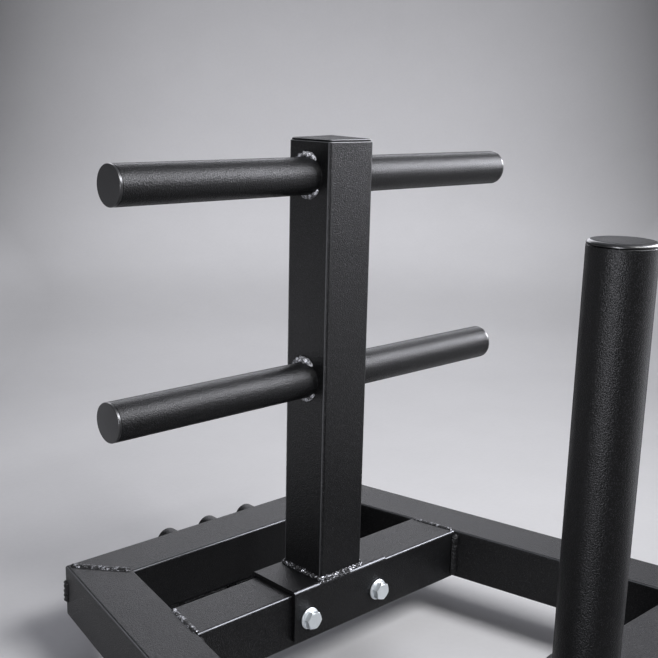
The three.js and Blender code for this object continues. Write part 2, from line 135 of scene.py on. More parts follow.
class Signal:
    """One shader socket with the arithmetic operators."""

    __add__, __radd__ = math_method("ADD"), math_method("ADD", True)
    __sub__, __rsub__ = math_method("SUBTRACT"), math_method("SUBTRACT", True)
    __mul__, __rmul__ = math_method("MULTIPLY"), math_method("MULTIPLY", True)
    __pow__, at_most = math_method("POWER"), math_method("MINIMUM")

    def __init__(self, shader, socket):
        self.shader = shader
        self.socket = socket

    def ramp(self, low, high):
        """Rises smoothly from 0 where the signal is at low to 1 where it is at high."""
        settings = {"clamp": True, "interpolation_type": "SMOOTHSTEP"}
        inputs = {0: self, 1: low, 2: high, 3: 0.0, 4: 1.0}
        return self.shader.node("ShaderNodeMapRange", settings, inputs)


class Shader:
    """A material's node tree with a short way to add and link a node."""

    def __init__(self, name):
        self.material = bpy.data.materials.new(name)
        self.material.use_nodes = True
        self.tree = self.material.node_tree
        self.surface = self.tree.nodes["Principled BSDF"]
        self.place = self.node("ShaderNodeTexCoord", {}, {}, "Object")

    def node(self, kind, settings, inputs, output=0):
        made = self.tree.nodes.new(kind)
        for key, value in settings.items():
            setattr(made, key, value)
        self.fill(made, inputs)
        return Signal(self, made.outputs[output])

    def fill(self, made, inputs):
        for key, value in inputs.items():
            if isinstance(value, Signal):
                self.tree.links.new(value.socket, made.inputs[key])
            else:
                made.inputs[key].default_value = value

    def noise(self, scale, detail, roughness=0.5):
        inputs = {"Vector": self.place, "Scale": scale, "Detail": detail, "Roughness": roughness}
        return self.node("ShaderNodeTexNoise", {}, inputs)

    def mix(self, factor, first, second):
        settings = {"data_type": "RGBA"}
        return self.node("ShaderNodeMix", settings, {0: factor, 6: first, 7: second}, 2)

    def tones(self, factor, colour, dark, bright):
        """From a dark share to a bright share of one colour."""
        return self.mix(factor, tone(colour, dark), tone(colour, bright))

    def scaled(self, colour, share):
        settings = {"operation": "SCALE"}
        return self.node("ShaderNodeVectorMath", settings, {0: colour, "Scale": share})

    def bump(self, height, depth, strength):
        inputs = {"Height": height, "Distance": depth, "Strength": strength}
        return self.node("ShaderNodeBump", {}, inputs)

    def finish(self, tint, roughness, relief, metallic=0.0, specular=0.5):
        """Fills in the surface and hands back the material."""
        self.fill(self.surface, {
            "Base Color": tint,
            "Metallic": metallic,
            "Roughness": roughness,
            "Normal": relief,
            "Specular IOR Level": specular,
        })
        return self.material


def tone(colour, share=1.0):
    return (colour[0] * share, colour[1] * share, colour[2] * share, 1.0)


def powder_coat(shader):
    """Black powder coat with fine dimples."""
    grain = 1.0 / sizes().grain
    dimples = shader.noise(grain, 2.0, 0.55)
    speck = shader.noise(grain * 1.6, 1.0)
    drift = shader.noise(14.0, 3.0)
    facing = shader.node("ShaderNodeLayerWeight", {}, {"Blend": 0.5}, "Facing")
    tint = shader.tones(speck.ramp(0.54, 0.74), colours().powder, 0.7, 9.0)
    roughness = 0.23 + 0.05 * drift + 0.26 * dimples + 0.4 * facing.ramp(0.7, 0.98)
    relief = shader.bump(dimples * 0.8 + speck * 0.5, 0.0005, 0.9)
    return shader.finish(tint, roughness, relief, specular=0.2)


def edge_highlight_coat(shader):
    """Painted highlight along a tube's corners: a brighter, metallic coat in place of the lamps'
    highlights on the edges.
    """
    wear_and_sheen = shader.noise(90.0, 3.0, 0.6)
    tint = shader.tones(wear_and_sheen, colours().edge, 0.5, 1.3)
    return shader.finish(tint, 0.5 - 0.1 * wear_and_sheen, shader.bump(wear_and_sheen, 0.0001, 0.5), metallic=0.7)


def painted_highlight_edge(shader):
    """Painted highlight: a thin edge coloured pale in place of a lamp's highlight."""
    wear_and_sheen = shader.noise(120.0, 3.0, 0.6)
    tint = shader.tones(wear_and_sheen, colours().edge, 0.9, 2.1)
    return shader.finish(tint, 0.42 + 0.1 * wear_and_sheen, shader.bump(wear_and_sheen, 0.0001, 0.4))


def weld_coat(shader):
    """Thin coat over a rough weld, bright on its ridges."""
    pits = shader.noise(330.0, 3.0, 0.65)
    fine = shader.noise(1100.0, 2.0, 0.6)
    ridge = (pits * 0.75 + fine * 0.25).ramp(0.51, 0.62)
    tint = shader.mix(ridge, tone(colours().powder, 1.3), tone(colours().weld))
    relief = shader.bump(pits + 0.4 * fine, 0.0007, 0.9)
    return shader.finish(tint, 0.46 - 0.14 * ridge, relief, 0.85 * ridge, specular=0.25)


def bare_weld(shader):
    """Weld that the coat hardly covers."""
    pits = shader.noise(380.0, 3.0, 0.65)
    ridge = pits.ramp(0.42, 0.58)
    tint = shader.tones(ridge, colours().weld, 0.3, 1.45)
    relief = shader.bump(pits, 0.0005, 0.9)
    return shader.finish(tint, 0.5 - 0.12 * ridge, relief, 0.5 * ridge)


def painted_weld(shader):
    """Weld under a full coat, with only its ridges a little brighter."""
    pits = shader.noise(420.0, 3.0, 0.65)
    ridge = pits.ramp(0.5, 0.7)
    tint = shader.mix(ridge, tone(colours().powder), tone(colours().weld, 0.25))
    relief = shader.bump(pits, 0.0004, 0.8)
    return shader.finish(tint, 0.4 - 0.1 * ridge, relief, 0.5 * ridge, specular=0.2)


def cap_plastic(shader, sheen=0.05):
    """Black plastic with a fine grain."""
    grain = shader.noise(1500.0, 2.0)
    drift = shader.noise(30.0, 2.0)
    tint = shader.tones(grain, colours().cap, 0.8, 1.3)
    relief = shader.bump(grain, 0.0002, 0.8)
    return shader.finish(tint, 0.5 + 0.14 * drift, relief, specular=sheen)


def cap_face(shader):
    """The same plastic with more sheen, on the handles' ends."""
    return cap_plastic(shader, 0.35)


def cap_gloss(shader):
    """Smoother plastic on a cap's rounded rim."""
    grain = shader.noise(700.0, 2.0)
    tint = shader.tones(grain, colours().cap, 0.8, 1.3)
    relief = shader.bump(grain, 0.0001, 0.4)
    return shader.finish(tint, 0.3 + 0.08 * grain, relief, specular=0.6)


def glide_plastic(shader):
    """Dull dark plastic, worn a little by the floor."""
    grain = shader.noise(900.0, 3.0, 0.6)
    wear_and_sheen = shader.noise(60.0, 4.0, 0.6)
    tint = shader.tones(wear_and_sheen.ramp(0.5, 0.75), colours().shoe, 1.0, 2.2)
    return shader.finish(tint, 0.5 + 0.2 * wear_and_sheen, shader.bump(grain, 0.0001, 0.7))


def zinc_plate(shader):
    """Bright zinc with faint clouding."""
    cloud = shader.noise(230.0, 3.0, 0.6)
    fine = shader.noise(2600.0, 2.0)
    tint = shader.tones(cloud, colours().zinc, 0.88, 1.03)
    relief = shader.bump(fine, 0.00004, 0.5)
    return shader.finish(tint, 0.27 + 0.14 * cloud, relief, metallic=0.52)


@functools.cache
def material_of(finish):
    """The finish's material, made when it is first asked for."""
    return finish(Shader(f"sled_{finish.__name__}"))


# Mesh helpers, where bm is the mesh that is edited and angles are in radians

# Shares of a unit normal along an axis
ALIGNED, UPWARD, FLAT_END, MOSTLY = 0.999, 0.99, 0.97, 0.9
RIM_SLANT, CORNER_SLANT = (0.2, 0.98), 0.6
SHARP_ANGLE, BOLT_SHARP_ANGLE, WELD_SHARP_ANGLE, CAP_SHARP_ANGLE = 0.6, 0.3, 1.3, 0.02
BROAD_SHARE, FLAT_ANGLE = 6.0, 0.01
TINY = 1e-6


def shade(bm, sharp_angle):
    """Smooth faces, with sharp edges at corners and where a broad face meets a narrow bevel."""
    for face in bm.faces:
        face.smooth = True
    for edge in bm.edges:
        if len(edge.link_faces) != 2:
            edge.smooth = False
            continue
        first, second = edge.link_faces
        angle = first.normal.angle(second.normal, 0.0)
        small, large = sorted((first.calc_area(), second.calc_area()))
        uneven = large > BROAD_SHARE * small and angle > FLAT_ANGLE
        edge.smooth = not (angle > sharp_angle or uneven)


def to_mesh(bm, name):
    mesh = bpy.data.meshes.new(name)
    bm.to_mesh(mesh)
    bm.free()
    return mesh


def add_object(name, data):
    made = bpy.data.objects.new(name, data)
    bpy.context.scene.collection.objects.link(made)
    return made


def add_piece(name, bm, node=None, finish=powder_coat,
              body=FRAME_BODY, sharp_angle=SHARP_ANGLE, second=edge_highlight_coat):
    """Turns the mesh into a piece that rides on its body, with up to two finishes."""
    bmesh.ops.recalc_face_normals(bm, faces=bm.faces[:])
    shade(bm, sharp_angle)
    mesh = to_mesh(bm, name)
    mesh.materials.append(material_of(finish))
    if any(polygon.material_index == 1 for polygon in mesh.polygons):
        mesh.materials.append(material_of(second))
    piece = add_object(name, mesh)
    if node:
        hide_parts(node)
    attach(piece, body)


def bevelled(bm, edges, width, segments):
    bmesh.ops.bevel(
        bm, geom=edges, offset=width, segments=segments, profile=0.5,
        affect="EDGES", material=-1, clamp_overlap=True)


def along(edge, axis):
    run = edge.verts[1].co - edge.verts[0].co
    return abs(run.normalized()[axis]) > ALIGNED


def block(low, high, axis, corner, segments=8):
    """A bar between two corners, with its long edges rounded."""
    bm = bmesh.new()
    bmesh.ops.create_cube(bm, size=1.0)
    low, high = Vector(low), Vector(high)
    bmesh.ops.scale(bm, vec=high - low, verts=bm.verts[:])
    bmesh.ops.translate(bm, vec=(low + high) / 2, verts=bm.verts[:])
    bevelled(bm, [e for e in bm.edges if along(e, axis)], corner, segments)
    return bm


def mark(bm, test):
    """Gives the faces that pass a test the second finish."""
    for face in bm.faces:
        if test(face):
            face.material_index = 1


def highlight_corners(bm, axis):
    """Marks the middle of each rounded long corner for the painted highlight."""
    first, second = (number for number in range(3) if number != axis)
    mark(bm, lambda f: min(abs(f.normal[first]), abs(f.normal[second])) > CORNER_SLANT)


def top_face(bm):
    """The broadest face that looks up."""
    return max((f for f in bm.faces if f.normal.z > UPWARD), key=lambda f: f.calc_area())


def highlight_rim(bm):
    """Rounds the edge of the top face and marks the rounding for the painted highlight."""
    width = 0.0005
    bevelled(bm, list(top_face(bm).edges), width, 2)
    bm.normal_update()
    mark(bm, lambda f: RIM_SLANT[0] < f.normal.z < RIM_SLANT[1])


def gloss_rim(bm, axis):
    """Marks all but the faces that look along the axis."""
    bm.normal_update()
    mark(bm, lambda f: abs(f.normal[axis]) < FLAT_END)


def cut(bm, point, normal):
    """Takes away what lies beyond the plane and closes the hole."""
    geometry = bm.verts[:] + bm.edges[:] + bm.faces[:]
    bmesh.ops.bisect_plane(
        bm, geom=geometry, dist=TINY / 10, plane_co=point, plane_no=normal, clear_outer=True)
    rim = [e for e in bm.edges if e.is_boundary]
    bmesh.ops.holes_fill(bm, edges=rim, sides=0)


def turned(bm, angle):
    """Turns the mesh about the upright axis through the origin."""
    bmesh.ops.rotate(
        bm, cent=(0, 0, 0), matrix=Matrix.Rotation(angle, 3, "Z"), verts=bm.verts[:])


def stood(bm, place, axis):
    """Turns what stands upright onto an axis and moves its base to a place."""
    turn = UP.rotation_difference(Vector(axis)).to_matrix().to_4x4()
    matrix = Matrix.Translation(Vector(place)) @ turn
    bmesh.ops.transform(bm, matrix=matrix, verts=bm.verts[:])


def spun(profile, place=(0, 0, 0), axis=UP, steps=96):
    """Turns a profile of (radius, height) pairs about an axis through a place."""
    bm = bmesh.new()
    line = [bm.verts.new((radius, 0.0, height)) for radius, height in profile]
    edges = [bm.edges.new(pair) for pair in zip(line, line[1:])]
    bmesh.ops.spin(
        bm, geom=line + edges, cent=(0, 0, 0), axis=(0, 0, 1),
        angle=math.tau, steps=steps, use_merge=True)
    bmesh.ops.remove_doubles(bm, verts=bm.verts[:], dist=TINY)
    bmesh.ops.dissolve_degenerate(bm, edges=bm.edges[:], dist=TINY / 10)
    stood(bm, place, axis)
    return bm


def rounded_rim(radius, base, top, rounding, steps):
    """Profile points of a disc's side and rounded rim, from its base to its flat top."""
    points = [(radius, base)]
    for step in range(steps + 1):
        angle = math.pi / 2 * step / steps
        points.append((radius - rounding + rounding * math.cos(angle),
                       top - rounding + rounding * math.sin(angle)))
    return points


def bar_profile(radius, length, rounding, steps=5, chamfer=0.0):
    """Profile of a solid bar with a small chamfer at its base and a rounded rim at its top."""
    side = rounded_rim(radius, chamfer, length, rounding, steps)
    return [(0, 0), (radius - chamfer, 0), *side, (0, length)]


def joined(parts):
    """One edited mesh out of several."""
    whole = bmesh.new()
    for part in parts:
        mesh = to_mesh(part, "joining")
        whole.from_mesh(mesh)
        bpy.data.meshes.remove(mesh)
    return whole


# Weld beads

SEAM_STEP = 0.00045
ROUND_STEP = 0.0005
ARC_STEPS = 9
ROOT_SHARE = 0.25
RIPPLE_BOW = 0.9
RIPPLE_POWER = 0.7
RIPPLE_SHARE, LUMP_SHARE, GRIT_SHARE = 0.22, 0.16, 0.1
LUMP_SCALE, GRIT_SCALE = 260.0, 900.0
SEED_SHARES = (0.37, 0.61, 0.83)
ROUGH_EDGE = 0.35


def straight(start, end):
    """Evenly spaced points from start to end."""
    count = max(4, round((end - start).length / SEAM_STEP))
    return [start.lerp(end, index / count) for index in range(count + 1)]


def bead(stations, radius, seed, closed=False, span=math.pi / 2, roughness=1.0):
    """A rippled weld bead.

    Each station is a point, the two directions between which its section lies and a width share.
    The outermost rows are sunk into the metal, and an open bead narrows to a point at its ends.
    """
    count = len(stations) - 1
    rows = ARC_STEPS + 2
    bm = bmesh.new()
    bmesh.ops.create_grid(bm, x_segments=count, y_segments=rows, size=1.0)
    lengths = [0.0]
    for before, after in zip(stations, stations[1:]):
        lengths.append(lengths[-1] + (after[0] - before[0]).length)
    total = lengths[-1]
    pitch = total / max(1, round(total / sizes().bead_pitch))
    offset = Vector([seed * share for share in SEED_SHARES])
    for vert in bm.verts:
        index = min(count, round((vert.co.x + 1.0) / 2 * count))
        row = round((vert.co.y + 1.0) / 2 * rows)
        point, first, second, width = stations[index]
        reach = radius * width
        if not closed:
            near = min(lengths[index], total - lengths[index]) / max(reach, TINY)
            reach *= math.sqrt(max(0.0, 1.0 - (1.0 - min(1.0, near)) ** 2))
        if row in (0, rows):
            vert.co = point - (first * math.cos(span / 2) + second) * reach * ROOT_SHARE
            continue
        share = (row - 1) / ARC_STEPS
        angle = span * share
        bow = 1.0 - (2.0 * share - 1.0) ** 2
        phase = math.pi * (lengths[index] + RIPPLE_BOW * pitch * bow) / pitch
        ripple = abs(math.sin(phase)) ** RIPPLE_POWER - 0.5
        direction = first * math.cos(angle) + second * math.sin(angle)
        spot = point + direction * reach
        lump = noise.noise(spot * LUMP_SCALE + offset)
        grit = noise.noise(spot * GRIT_SCALE + offset)
        uneven = RIPPLE_SHARE * ripple + LUMP_SHARE * lump + GRIT_SHARE * grit
        swell = 1.0 + roughness * uneven * (ROUGH_EDGE + (1 - ROUGH_EDGE) * bow)
        vert.co = point + direction * reach * swell
    bmesh.ops.remove_doubles(bm, verts=bm.verts[:], dist=2 * TINY)
    bmesh.ops.dissolve_degenerate(bm, edges=bm.edges[:], dist=TINY)
    return bm


def corner_bead(start, end, first, second, radius, seed, roughness=1.0):
    """A straight bead in the corner between two faces that lie along first and second."""
    first, second = first.normalized(), second.normalized()
    stations = [(point, first, second, 1.0) for point in straight(start, end)]
    return bead(stations, radius, seed, roughness=roughness)


def flat_bead(start, end, across, up, height, radius, seed):
    """A low bead over the seam between two flush faces; height is a share of its radius."""
    across, up = across.normalized(), up.normalized()
    stations = [(point, across, up * height, 1.0) for point in straight(start, end)]
    return bead(stations, radius, seed, span=math.pi)


def ring_bead(centre, axis, bar_radius, radius, seed, roughness=1.0, step=ROUND_STEP,
              width=lambda angle: 1.0):
    """A bead round a bar that stands on a face, with a width share for each angle."""
    centre, axis = Vector(centre), Vector(axis)
    side = UP.copy() if abs(axis.x) > MOSTLY else axis.orthogonal().normalized()
    other = axis.cross(side)
    count = round(math.tau * bar_radius / step)
    stations = []
    for index in range(count + 1):
        angle = math.tau * index / count
        out = side * math.cos(angle) + other * math.sin(angle)
        stations.append((centre + out * bar_radius, out, axis, width(angle)))
    return bead(stations, radius, seed, closed=True, roughness=roughness)


def seam_round_square(low, high, level, corner, width):
    """Stations round a square tube on a face, with a width share for each outward direction."""
    centres = (
        (high.x - corner, high.y - corner), (low.x + corner, high.y - corner),
        (low.x + corner, low.y + corner), (high.x - corner, low.y + corner))
    count = max(4, round(corner * math.pi / 2 / SEAM_STEP))
    arcs = []
    for quarter, (x, y) in enumerate(centres):
        angles = [math.radians(90.0 * quarter + 90.0 * step / count) for step in range(count + 1)]
        outs = [Vector((math.cos(angle), math.sin(angle), 0.0)) for angle in angles]
        arcs.append([(Vector((x, y, level)) + out * corner, out) for out in outs])
    spots = []
    for arc, following in zip(arcs, arcs[1:] + arcs[:1]):
        target, out = following[0]
        spots += arc + [(point, out) for point in straight(arc[-1][0], target)[1:-1]]
    spots.append(arcs[0][0])
    return [(point, out, UP, width(out)) for point, out in spots]


def handle_width(angle):
    """A handle's weld is thick above, thinner below and hardly there at the sides."""
    lean, least, most, bottom_share, power = 0.36, 0.08, 1.25, 0.55, 0.6
    top = (math.cos(angle - lean) - 0.55) / 0.45
    bottom = (math.cos(angle - math.pi) - 0.6) / 0.4
    return least + most * max(0.0, top, bottom_share * bottom) ** power


# Places on the CAD frame

def box(node):
    """A CAD piece's low corner, high corner and middle."""
    low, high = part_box(node)
    return low, high, (low + high) / 2


def tube_width():
    low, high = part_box("rear_rail")
    return high.y - low.y


def outer_x(y):
    """Where the right rail's outer face lies at a given Y."""
    front_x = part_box("right_rail")[1].x
    front_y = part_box("front_rail")[0].y
    return front_x - sizes().spread_share * (y - front_y)


def inner_x(y):
    """Where the right rail's inner face lies at a given Y."""
    share = sizes().spread_share
    return outer_x(y) - tube_width() * math.sqrt(1.0 + share * share)


def side_normal(side):
    """Level direction that points out of a side rail's outer face."""
    return Vector((side, sizes().spread_share, 0.0)).normalized()


def side_direction(side):
    """Level direction along a side rail, towards the rear."""
    return Vector((-side * sizes().spread_share, 1.0, 0.0)).normalized()


def mitre(side, end):
    """A mitre's inner and outer corner, and the direction from the side rail into the end rail."""
    low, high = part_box("rear_rail" if end > 0 else "front_rail")
    inner_y, outer_y = (low.y, high.y) if end > 0 else (high.y, low.y)
    inner = Vector((side * inner_x(inner_y), inner_y, 0.0))
    outer = Vector((side * outer_x(outer_y), outer_y, 0.0))
    normal = (outer - inner).normalized().cross(UP)
    if normal.y * end < 0:
        normal.negate()
    return inner, outer, normal


# Operators

class SledOperator:
    """What the operators share."""

    bl_options = {"REGISTER", "UNDO"}


class SLED_OT_side_rails(SledOperator, bpy.types.Operator):
    """Adds the two spreading side rails"""

    bl_idname = "sled.side_rails"
    bl_label = "Side rails"

    def execute(self, context):
        half, uncut = tube_width() / 2, 0.6
        for side, name in SIDES:
            node = f"{name}_rail"
            low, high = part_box(node)
            rail = block((-half, -uncut, low.z), (half, uncut, high.z), 1, sizes().tube_corner)
            highlight_corners(rail, 1)
            direction = side_direction(side)
            turned(rail, math.atan2(-direction.x, direction.y))
            middle = side * (outer_x(0.0) + inner_x(0.0)) / 2
            bmesh.ops.translate(rail, vec=(middle, 0, 0), verts=rail.verts[:])
            for end in (-1, 1):
                inner, _, normal = mitre(side, end)
                cut(rail, inner - normal * sizes().seam / 2, normal)
            add_piece(f"{node}_tube", rail, node)
        return {"FINISHED"}


def add_cross_tube(node, planes, uncut):
    """Adds a square tube along X, made longer and cut by planes of a point and a normal."""
    low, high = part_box(node)
    tube = block((low.x - uncut, low.y, low.z), (high.x + uncut, high.y, high.z),
                 0, sizes().tube_corner)
    highlight_corners(tube, 0)
    for point, normal in planes:
        cut(tube, point, normal)
    add_piece(f"{node}_tube", tube, node)


class SLED_OT_end_rails(SledOperator, bpy.types.Operator):
    """Adds the rear rail and the front rail, mitred at both ends"""

    bl_idname = "sled.end_rails"
    bl_label = "End rails"

    def execute(self, context):
        for end, name in ENDS:
            planes = []
            for side in (-1, 1):
                inner, _, normal = mitre(side, end)
                planes.append((inner + normal * sizes().seam / 2, -normal))
            add_cross_tube(f"{name}_rail", planes, uncut=0.05)
        return {"FINISHED"}


class SLED_OT_crossmembers(SledOperator, bpy.types.Operator):
    """Adds the two cross members between the side rails"""

    bl_idname = "sled.crossmembers"
    bl_label = "Cross members"

    def execute(self, context):
        reach = inner_x(0.0) - sizes().seam
        planes = [(Vector((side * reach, 0, 0)), side_normal(side)) for side in (-1, 1)]
        for node in CROSSMEMBERS:
            add_cross_tube(node, planes, uncut=0.03)
        return {"FINISHED"}


class SLED_OT_saddle(SledOperator, bpy.types.Operator):
    """Adds the bent saddle plate over the rear cross member"""

    bl_idname = "sled.saddle"
    bl_label = "Saddle"

    def execute(self, context):
        low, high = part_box("upright_saddle")
        plate = bmesh.new()
        corners = [(low.y, low.z), (low.y, high.z), (high.y, high.z), (high.y, low.z)]
        line = [plate.verts.new((low.x, y, z)) for y, z in corners]
        for pair in zip(line, line[1:]):
            plate.edges.new(pair)
        bmesh.ops.bevel(
            plate, geom=line[1:3], offset=sizes().saddle_bend, segments=8, profile=0.5,
            affect="VERTICES", material=-1)
        run = bmesh.ops.extrude_edge_only(plate, edges=plate.edges[:])["geom"]
        moved = [v for v in run if isinstance(v, bmesh.types.BMVert)]
        bmesh.ops.translate(plate, vec=(high.x - low.x, 0, 0), verts=moved)
        bmesh.ops.recalc_face_normals(plate, faces=plate.faces[:])
        level = next(f for f in plate.faces if abs(f.normal.z) > ALIGNED)
        thickness = math.copysign(sizes().saddle_thickness, level.normal.z)
        bmesh.ops.solidify(plate, geom=plate.faces[:], thickness=thickness)
        bmesh.ops.recalc_face_normals(plate, faces=plate.faces[:])
        highlight_corners(plate, 0)
        add_piece("upright_saddle_plate", plate, "upright_saddle")
        return {"FINISHED"}


class SLED_OT_upright(SledOperator, bpy.types.Operator):
    """Adds the upright and its square cap"""

    bl_idname = "sled.upright"
    bl_label = "Upright and cap"

    def execute(self, context):
        low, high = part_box("upright")
        corner = sizes().tube_corner
        tube = block(low, high, 2, corner)
        highlight_rim(tube)
        # Painted highlight: the corner facets next to the faces that look along X get the pale
        # colour as thin bright lines.
        mark(tube, lambda f: MOSTLY < abs(f.normal.x) < ALIGNED)
        add_piece("upright_tube", tube, "upright", second=painted_highlight_edge)
        base, top = high.z + sizes().seam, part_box("upright_cap")[1].z
        flange, step, inset, lift = 0.0016, 0.0009, 0.0009, 0.0003
        cap = block((low.x + step, low.y + step, base),
                    (high.x - step, high.y - step, base + flange), 2, corner, 6)
        highlight_rim(cap)
        face = top_face(cap)
        bmesh.ops.inset_region(cap, faces=[face], thickness=inset, depth=lift)
        bmesh.ops.poke(cap, faces=[face], offset=top - base - flange - lift)
        add_piece("upright_cap_top", cap, "upright_cap", cap_plastic,
                  sharp_angle=CAP_SHARP_ANGLE, second=painted_highlight_edge)
        return {"FINISHED"}


class SLED_OT_handles(SledOperator, bpy.types.Operator):
    """Adds the four handles with their caps"""

    bl_idname = "sled.handles"
    bl_label = "Handles and caps"

    def execute(self, context):
        tube_rim, cap_rim, cap_chamfer = 0.0002, 0.0006, 0.0001
        for side, node in HANDLES:
            low, high, middle = box(node)
            cap_low, cap_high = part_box(f"{node}_cap")
            radius = (high.z - low.z) / 2
            length = high.x - low.x
            root = Vector((low.x if side > 0 else high.x, middle.y, middle.z))
            tube = spun(bar_profile(radius, length, tube_rim, 2), root, (side, 0, 0))
            add_piece(f"{node}_tube", tube, node)
            start = abs(root.x) + length + sizes().seam
            depth = (cap_high.x if side > 0 else -cap_low.x) - start
            profile = bar_profile(radius, depth, cap_rim, chamfer=cap_chamfer)
            cap = spun(profile, (side * start, middle.y, middle.z), (side, 0, 0))
            gloss_rim(cap, 0)
            add_piece(f"{node}_cap_disc", cap, f"{node}_cap", cap_face,
                      second=cap_gloss)
        return {"FINISHED"}


class SLED_OT_weight_post(SledOperator, bpy.types.Operator):
    """Adds the weight post, its cap and the socket round its foot"""

    bl_idname = "sled.weight_post"
    bl_label = "Weight post and socket"

    def execute(self, context):
        turns, foot_chamfer, top_rim = 128, 0.001, 0.0008
        low, high, middle = box("weight_post")
        radius = (high.x - low.x) / 2
        length = high.z - low.z
        foot = (middle.x, middle.y, low.z)
        tube = spun(bar_profile(radius, length, top_rim, 3, foot_chamfer), foot, UP, turns)
        add_piece("weight_post_tube", tube, "weight_post", body=POST_BODY)
        start = high.z + sizes().seam
        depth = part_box("weight_post_cap")[1].z - start
        chamfer, side, slope, steps = 0.0003, 0.0006, 0.0042, 8
        profile = [(0, 0), (radius - chamfer, 0), (radius, chamfer)]
        for step in range(steps + 1):
            angle = math.pi / 2 * step / steps
            profile.append((radius - slope * (1 - math.cos(angle)),
                            side + (depth - side) * math.sin(angle)))
        profile.append((0, depth))
        cap = spun(profile, (middle.x, middle.y, start), UP, turns)
        gloss_rim(cap, 2)
        add_piece("weight_post_cap_disc", cap, "weight_post_cap", cap_plastic,
                  POST_BODY, second=cap_gloss)
        low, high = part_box("post_socket")
        play, rim = 0.0005, 0.0012
        outer, inner, height = (high.x - low.x) / 2, radius + play, high.z - low.z
        profile = [(inner, 0.0), (outer, 0.0), *rounded_rim(outer, 0.0, height, rim, 4)]
        profile += [(inner + rim, height), (inner, height - rim), (inner, 0.0)]
        socket = spun(profile, (middle.x, middle.y, low.z), UP, turns)
        add_piece("post_socket_collar", socket, "post_socket")
        return {"FINISHED"}


FLANGE_SHARE = 0.9
FLANGE_STEPS = ((0.0003, 0), (0, 0.0003), (0, 0.0012), (0.0004, 0.0016), (0.0026, 0.0026),
                (0.0036, 0.0034))


def flange_ring(radius):
    """The flange under a head or a nut, from steps of an inset and a height."""
    profile = [(0, 0)] + [(radius - inset, height) for inset, height in FLANGE_STEPS]
    return spun(profile + [(0, FLANGE_STEPS[-1][1])])


def hexagon(flat_width, height, crown, top_share):
    """A hexagonal prism whose corners are cut by a cone at its top, standing on its base."""
    rows = 5
    half = flat_width / 2
    corner = half / math.cos(math.pi / 6)
    top = half * top_share
    profile = [(0.0, 0.0), (1.0, 0.0)]
    profile += [(1.0, height - crown + crown * row / rows) for row in range(rows + 1)]
    profile += [(0.0, height)]
    head = spun(profile)
    for vert in head.verts:
        if math.hypot(vert.co.x, vert.co.y) < 0.5:
            continue
        angle = math.atan2(vert.co.y, vert.co.x)
        turn = (angle + math.pi / 6) % (math.pi / 3) - math.pi / 6
        share = max(0.0, (vert.co.z - height + crown) / crown)
        reach = min(half / math.cos(turn), corner + (top - corner) * share)
        vert.co.x, vert.co.y = reach * math.cos(angle), reach * math.sin(angle)
    return head


def thread(start, length):
    """A bolt's shank with thread rings towards its tip, along +Y."""
    pitch, radius, depth, tip = 0.0015, 0.00495, 0.0007, 0.0012
    plain_share, runout = 0.6, 0.0015
    profile = [(0, 0), (radius, 0), (radius, length * plain_share)]
    turns = int((length * (1 - plain_share) - runout) / pitch)
    base = length - tip - turns * pitch
    for index in range(turns):
        profile += [(radius - depth, base + (index + 0.5) * pitch),
                    (radius, base + (index + 1.0) * pitch)]
    profile += [(radius - tip, length), (0, length)]
    return spun(profile, start, (0, 1, 0), 40)


class SLED_OT_saddle_bolts(SledOperator, bpy.types.Operator):
    """Adds the two flanged bolts and their nuts"""

    bl_idname = "sled.saddle_bolts"
    bl_label = "Saddle bolts and nuts"

    def execute(self, context):
        head_flats, head_crown, head_top, head_share = 0.0146, 0.0007, 0.97, 0.92
        nut_flats, nut_crown, nut_top, nut_turn = 0.015, 0.0012, 0.94, 0.5
        shank_start = 0.001
        for name, turn in (("left", 0.35), ("right", 0.2)):
            node = f"{name}_saddle_bolt"
            low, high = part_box(node)
            x, z = (low.x + high.x) / 2, (low.z + high.z) / 2
            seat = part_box("upright_saddle")[0].y - sizes().seam
            radius = (high.x - low.x) / 2 * FLANGE_SHARE
            head = hexagon(head_flats, (seat - low.y) * head_share, head_crown, head_top)
            turned(head, turn)
            bolt = joined([flange_ring(radius), head])
            stood(bolt, (x, seat, z), (0, -1, 0))
            shank = thread((x, seat + shank_start, z), high.y - seat - shank_start)
            self.add(node, "head", [bolt, shank])
            node = f"{name}_saddle_nut"
            low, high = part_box(node)
            nut = hexagon(nut_flats, high.y - low.y, nut_crown, nut_top)
            turned(nut, turn + nut_turn)
            nut = joined([nut, flange_ring(radius)])
            stood(nut, (x, low.y, z), (0, 1, 0))
            self.add(node, "body", [nut])
        return {"FINISHED"}

    def add(self, node, part, meshes):
        add_piece(f"{node}_{part}", joined(meshes), node, zinc_plate,
                  sharp_angle=BOLT_SHARP_ANGLE)


class SLED_OT_pegs(SledOperator, bpy.types.Operator):
    """Adds the three short pegs behind the rear rail"""

    bl_idname = "sled.pegs"
    bl_label = "Rear pegs"

    def execute(self, context):
        rounding = 0.002
        for node in PEGS:
            low, high, middle = box(node)
            profile = bar_profile((high.x - low.x) / 2, high.y - low.y, rounding)
            peg = spun(profile, (middle.x, low.y, middle.z), (0, 1, 0), 72)
            add_piece(f"{node}_stub", peg, node)
        return {"FINISHED"}


